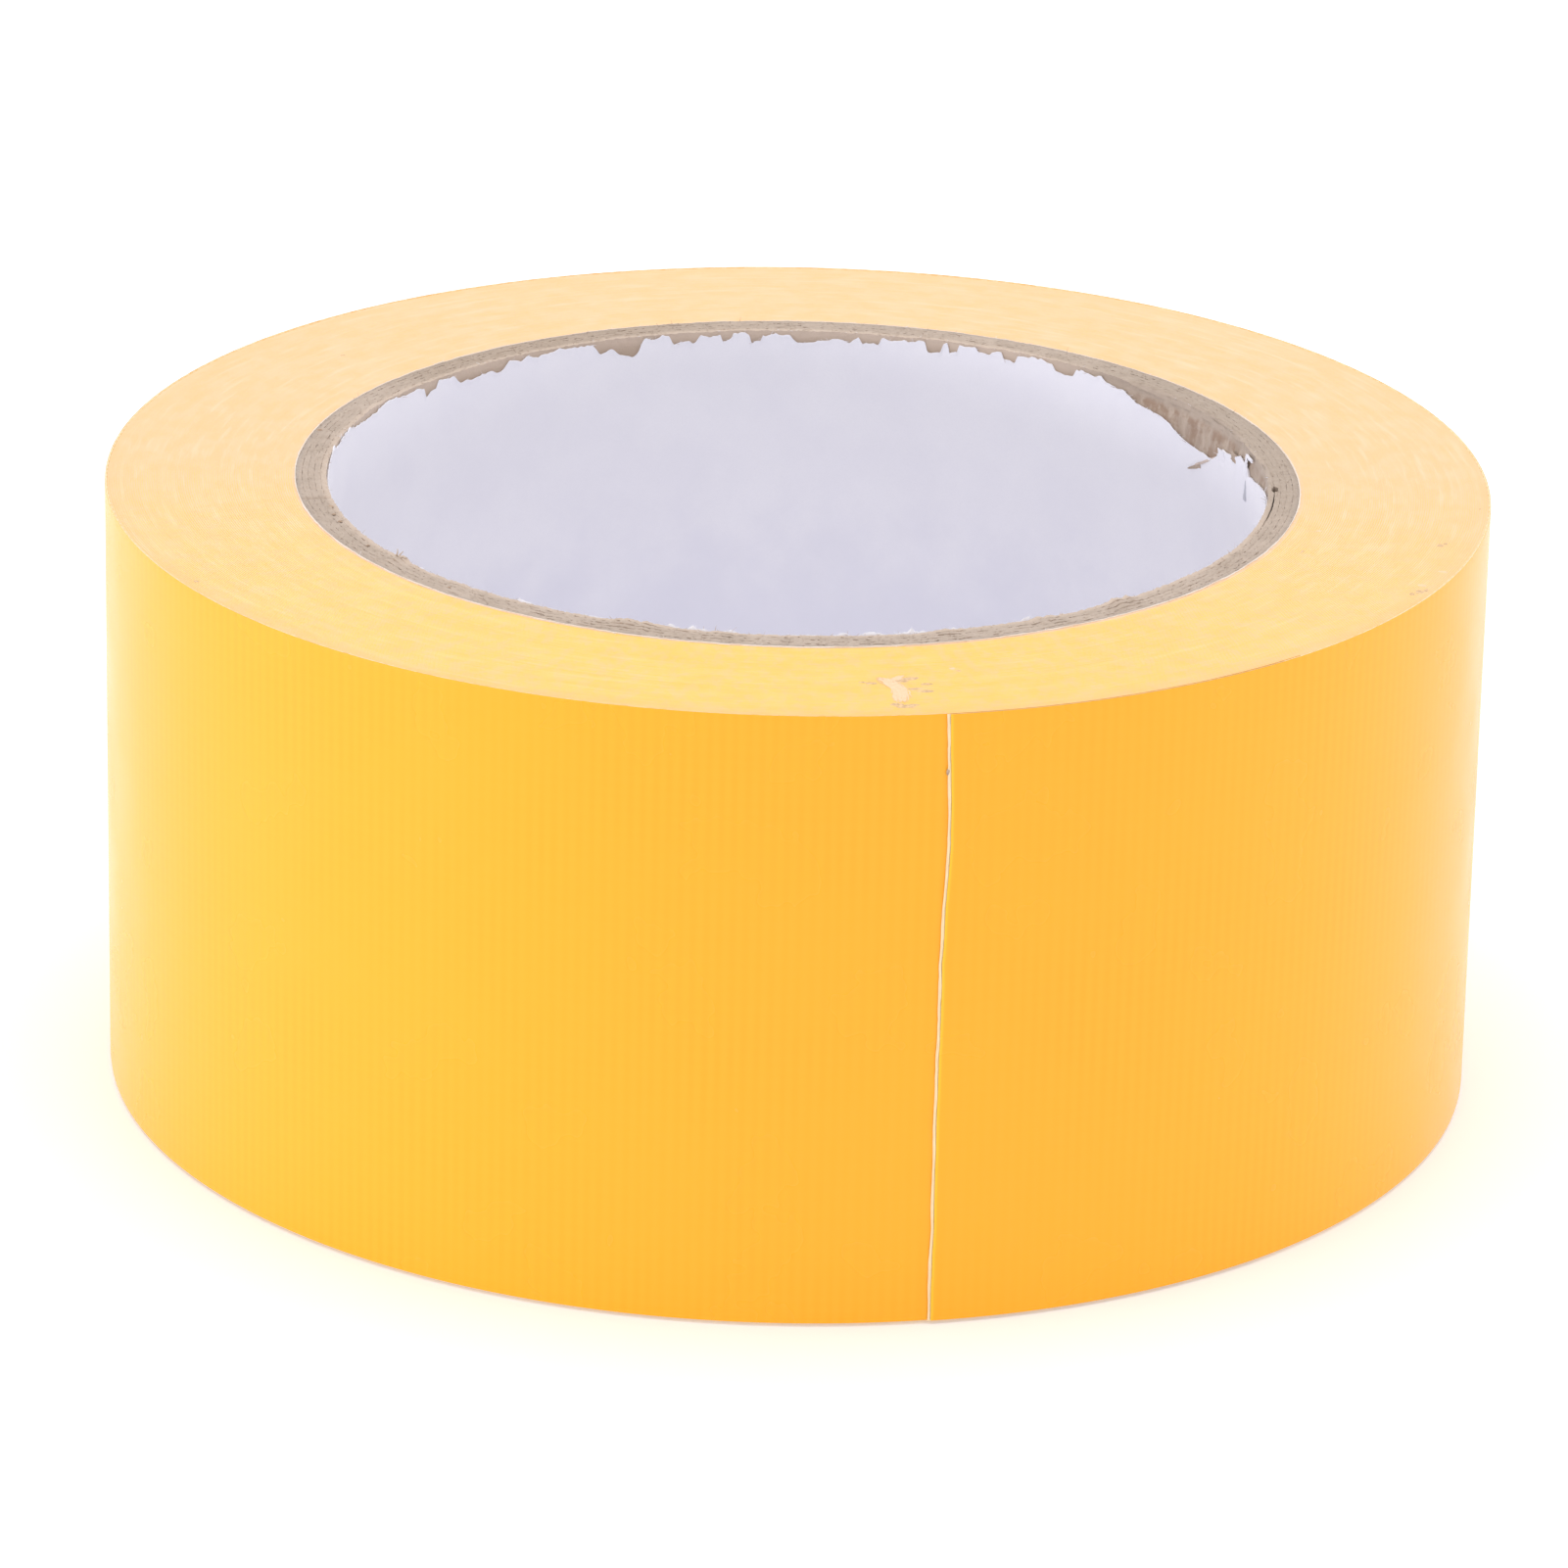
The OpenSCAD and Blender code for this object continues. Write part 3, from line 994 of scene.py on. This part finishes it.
def torn_strip(shell, angle, height, across, rise, width, length, curl, taper, seed, twist=0.0):
    """A torn strip on the bore's wall, which heads across it and up or down, and tapers along its length."""
    out = outward_at(angle)
    heading = outward_at(angle + 90) * across + UP * rise
    heading /= np.linalg.norm(heading)
    side = np.cross(out, heading)
    steps = np.linspace(0, 1, 21)
    widths = 1 - taper * steps + 0.16 * smooth_noise(steps * 6, seed)
    position = out * (BORE_R - 0.02) + UP * height
    front = []
    for step, share in zip(steps, widths):
        bend = curl * step
        forward = heading * math.cos(bend) - out * math.sin(bend)
        lean = side * math.cos(twist * step) - out * math.sin(twist * step)
        half = width / 2 * share
        w = np.linspace(-1, 1, 9)[:, None]
        front.append(position + lean * half * w - out * 0.15 * half * (1 - w * w))
        position = position + forward * length / (len(steps) - 1)
    front = np.array(front)
    frayed = np.random.default_rng(seed).uniform(-1, 1, front.shape) * steps[:, None, None]
    front += 0.035 * frayed
    slab(shell, front, front + out * 0.08)


def flaps():
    """Paper and board torn loose at the right of the bore, and a grey strip of painted shadow under a fold of
    the liner.
    """
    white = Shell()
    torn_strip(white, 22.7, 46.5, 0.0, 1.0, 1.15, 1.5, 0.2, 0.15, 401)
    torn_strip(white, 15.0, 47.2, -0.35, 1.0, 1.2, 2.1, 0.08, 0.35, 403, 0.2)
    torn_strip(white, 14.1, 49.2, -1.0, 0.08, 0.5, 1.7, 0.1, 0.6, 408)
    white.piece("liner_flaps", "roll", "white_paper", LINER)
    pink = Shell()
    torn_strip(pink, 24.5, 46.85, 1.0, -0.5, 0.24, 3.3, 0.2, 0.2, 404)
    pink.piece("torn_sliver", "roll", "white_paper", SLIVER)
    brown = Shell()
    torn_strip(brown, 28.2, 45.4, 1.0, -0.42, 0.42, 1.8, 0.25, 0.7, 405)
    torn_strip(brown, 18.8, 48.5, 0.1, -1.0, 1.5, 0.7, 0.1, 0.4, 406)
    brown.piece("board_slivers", "roll", "grey_board", BOARD)
    # Painted shadow: a thin grey strip laid on the liner where a fold casts its shade.
    crease_shadow = Shell()
    torn_strip(crease_shadow, 14.3, 47.2, 0.02, -1.0, 0.26, 1.8, 0.05, -1.6, 407)
    crease_shadow.piece("painted_crease_shadow_strip", "roll", "white_paper", PAINTED_CREASE_SHADOW)


def fibre(shell, rng, start, heading, length, radius):
    """A short bent fibre."""
    heading = heading / np.linalg.norm(heading)
    bend = rng.normal(0, 0.5, 3)
    steps = np.linspace(0, 1, 5)
    path = [start + heading * length * s + bend * length * s * s * 0.5 for s in steps]
    tube(shell, path, radius * (1 - 0.6 * steps), 4)


def rim_fibres(shells, rng, count, radii, height, lift, length, thickness):
    """Fuzz along one circle of the rim. Shells are drawn from in turn."""
    for number in range(count):
        angle = rng.uniform(0, 360)
        start = outward_at(angle) * rng.uniform(*radii) + UP * height(angle)
        heading = np.array([0, 0, rng.uniform(*lift)]) + rng.normal(0, 1.0, 3) * np.array([1, 1, 0.3])
        shell = shells[number % len(shells)]
        fibre(shell, rng, start, heading, rng.uniform(*length), rng.uniform(*thickness))


def fibres():
    """Fuzz of torn paper and board along the rims."""
    rng = np.random.default_rng(500)
    white = Shell()
    brown = Shell()

    def along_tear(angle):
        return float(liner_top(np.array([angle]))[0]) - 0.05

    def on_face(_):
        return WIDTH - 0.05

    tear = (BORE_R - 0.02, BORE_R + 0.1)
    bore_edge = (LINER_R, LINER_R + 0.2)
    wrap_edge = (CORE_R - 0.1, CORE_R + 0.1)
    both = [white, brown, white]
    mostly_brown = [white, brown, brown]
    rim_fibres(both, rng, 900, tear, along_tear, (0, 1), (0.12, 0.45), (0.012, 0.03))
    rim_fibres([brown], rng, 700, (LINER_R, PLY_R[5]), on_face, (0.1, 0.6), (0.12, 0.5), (0.012, 0.028))
    rim_fibres(mostly_brown, rng, 240, bore_edge, on_face, (0, 0.5), (0.1, 0.35), (0.01, 0.022))
    rim_fibres([white], rng, 160, wrap_edge, on_face, (0.1, 0.5), (0.1, 0.35), (0.012, 0.022))
    for angle in (-144.6, -144.2, -143.6, -143.2):
        fibre(brown, rng, top_point(38.6, angle, 0.2), np.array([0.5, 0.1, 0.8]), 0.5, 0.1)
    white.piece("paper_fibres", "roll", "white_paper", LINER, sharp=180)
    brown.piece("board_fibres", "roll", "grey_board", BOARD, sharp=180)


# ---------------- dirt and fluff


def fluff():
    """A smear of yarn fluff on the upper side face near the cut end, and a few pale crumbs."""
    shell = Shell()
    rng = np.random.default_rng(630)
    # Radius, angle and width along each arm of the smear
    arm = (
        (47.5, -82.3, 0.30), (48.2, -81.6, 0.62), (49.7, -80.9, 0.48),
        (51.1, -80.75, 0.60), (52.6, -81.0, 0.72), (53.2, -81.1, 0.50),
    )
    branch = ((48.8, -81.1, 0.3), (47.9, -80.6, 0.3), (47.4, -80.0, 0.22), (47.4, -79.6, 0.1))
    for outline, count in ((arm, 60), (branch, 16)):
        steps = np.linspace(0, 1, len(outline))
        radii, degrees, widths = np.array(outline).T
        for _ in range(count):
            stretch = np.linspace(rng.uniform(0, 0.3), rng.uniform(0.6, 1), 14)
            radius = np.interp(stretch, steps, radii)
            offset = rng.normal(0, 0.5) * np.interp(stretch, steps, widths) + rng.normal(0, 0.06, 14)
            angle = np.interp(stretch, steps, degrees) + np.degrees(offset / radius)
            taper = np.sin(np.linspace(0.15, math.pi - 0.15, 14))
            tube(shell, top_point(radius, angle, 0.01), rng.uniform(0.04, 0.1) * taper, 6, 0.3, UP)
    # Radius, angle and size
    crumbs = ((43.2, -14.8, 0.22), (54.6, -25.6, 0.3), (55.0, -21.6, 0.3), (46.5, -74.9, 0.22))
    for number, (radius, degrees, size) in enumerate(crumbs):
        blob(shell, top_point(radius, degrees), UP, size, 620 + number, 1.3, EAST, 0.2)
    shell.piece("yarn_fluff", "roll", "cloth", FLUFF)


def dust():
    """Brown specks on the side face, the board's rim, the film and the cut end; those at the fluff's outer
    end are partly painted shadow.
    """
    brown = Shell()
    # Radius, angle, size and stretch round the roll
    spots = (
        (48.5, -80.4, 0.3, 2.4), (48.1, -79.4, 0.34, 2.6), (50.3, -79.5, 0.26, 3.2),
        # Partly painted shadow: the specks at radius 53.5 to 53.9 by -81 degrees are brown dirt that also
        # stands in for the shade at the outer end of the fluff smear.
        (50.9, -78.5, 0.34, 2.6), (49.4, -78.2, 0.24, 2.0), (53.5, -81.6, 0.34, 1.8),
        (53.9, -80.9, 0.42, 2.0), (53.7, -80.2, 0.2, 2.4), (48.8, -83.0, 0.26, 1.6),
        (48.5, -83.8, 0.16, 1.6), (47.0, -74.5, 0.2, 1.2), (55.0, -27.1, 0.3, 1.5),
        (55.3, -26.5, 0.22, 1.6), (54.7, -27.9, 0.22, 1.3), (53.2, -15.2, 0.26, 1.5),
        (53.5, -14.6, 0.18, 1.2), (54.4, -11.1, 0.1, 1.2), (55.3, -5.0, 0.12, 1.2),
        (43.3, -21.8, 0.14, 2.2), (43.1, -14.8, 0.10, 1.6), (54.8, -148.5, 0.2, 1.3),
        (48.2, 143.2, 0.14, 1.4),
    )
    for number, (radius, degrees, size, stretch) in enumerate(spots):
        along = outward_at(degrees + 90)
        blob(brown, top_point(radius, degrees), UP, size, 640 + number, stretch, along, 0.1)
    brown.piece("dust_and_shade_specks", "roll", "grey_board", DIRT_AND_SHADE)
    pits = Shell()
    for number, (radius, degrees, size) in enumerate(RIM_PITS):
        blob(pits, top_point(radius, degrees, 0.08), UP, size, 660 + number, 1.2, EAST, 0.3)
    pits.piece("rim_pits", "roll", "grey_board", GRIME)
    film = Shell()
    # Angle, height and size
    spots = ((-125.5, 35.2, 0.14), (-100.2, 8.3, 0.12), (-93.1, 39.1, 0.08))
    for number, (degrees, z, size) in enumerate(spots):
        out = outward_at(degrees)
        blob(film, out * (ROLL_R - TAPE_T * 0.95) + UP * z, out, size, 670 + number, 1.6, UP, 0.2)
    film.piece("film_specks", "roll", "grey_board", DIRT_AND_SHADE)
    cut = Shell()
    speck_z = 45.4
    speck = on_tape(cut_wander(speck_z) - 0.09, FILM_T, speck_z)
    blob(cut, speck, speck * (1, 1, 0), 0.15, 680, 2.2, UP, 0.4)
    cut.piece("cut_edge_speck", "tape_end", "grey_board", GRIME)


# ---------------- build


pack_side("side_turns_upper", True, 700)
pack_side("side_turns_lower", False, 720)
film_strip("last_turn_film_ring", 88, 360 + TAB_ANGLE + 2, False, "roll", ["last_turn_film"])
loose_film = film_strip("loose_end_film", 0, 88, True, None, ["tape_end_film"])
last_turn_layer("last_turn_cloth", FILM_T, CLOTH_T, CLOTH, "cloth", 741)
last_turn_layer("last_turn_adhesive", FILM_T + CLOTH_T, TAPE_T - FILM_T - CLOTH_T, ADHESIVE, "adhesive", 742)
for piece in (loose_film, loose_cloth(), loose_adhesive()):
    bend_at_crease(piece)
for ply in range(5):
    board_ply(ply)
liner()
wrap()
flaps()
fibres()
fluff()
dust()


# ---------------- floor, light, camera


def stage_and_light():
    """A plain floor just under the roll, a white world, and soft lights at both sides and above."""
    half = 3.0
    mesh = bpy.data.meshes.new("floor")
    corners = [(-half, -half, 0), (half, -half, 0), (half, half, 0), (-half, half, 0)]
    mesh.from_pydata(corners, [], [(0, 1, 2, 3)])
    mesh.materials.append(floor_look())
    floor = add_object("floor", mesh)
    floor.location.z = cad_low[2] - FLOOR_GAP * MM
    world = bpy.data.worlds.new("soft_white")
    world.use_nodes = True
    world.node_tree.nodes["Background"].inputs["Color"].default_value = (1, 1, 1, 1)
    world.node_tree.nodes["Background"].inputs["Strength"].default_value = 0.8
    bpy.context.scene.world = world
    # Name, place, size and watts
    lights = (
        ("key", (-1.0, -0.27, 0.08), (1.0, 0.14), 4.4),
        ("fill", (1.05, 0.0, 0.08), (1.0, 0.14), 2.1),
        ("top", (0.0, 0.0, 1.3), (0.8, 0.8), 7.0),
    )
    for name, place, size, watts in lights:
        light = bpy.data.lights.new(name, "AREA")
        light.shape = "RECTANGLE"
        light.size, light.size_y = size
        light.energy = watts
        lamp = add_object(name, light)
        lamp.location = place
        aim = Vector((0, 0, WIDTH / 2 * MM)) - Vector(place)
        lamp.rotation_euler = aim.to_track_quat("-Z", "Y").to_euler()


def camera():
    """A long lens about 0.7 m away, looking down at 21 degrees. Angles are in radians."""
    data = bpy.data.cameras.new("camera")
    data.sensor_width = 36.0
    data.lens = 193.24
    data.clip_start = 0.01
    data.clip_end = 20
    place = (0, -0.6475, 0.2709)
    tilt = -0.36553
    pan = -0.0009
    roll = 0.02082
    forward = Vector((math.sin(pan) * math.cos(tilt), math.cos(pan) * math.cos(tilt), math.sin(tilt)))
    right = forward.cross(Vector((0, 0, 1))).normalized()
    up = right.cross(forward)
    turned_right = right * math.cos(roll) + up * math.sin(roll)
    turned_up = up * math.cos(roll) - right * math.sin(roll)
    axes = Matrix((turned_right, turned_up, -forward)).transposed().to_4x4()
    view = add_object("camera", data)
    view.matrix_world = Matrix.Translation(place) @ axes
    bpy.context.scene.camera = view


stage_and_light()
camera()
scene = bpy.context.scene
scene.view_settings.view_transform = "Standard"
scene.view_settings.look = "None"
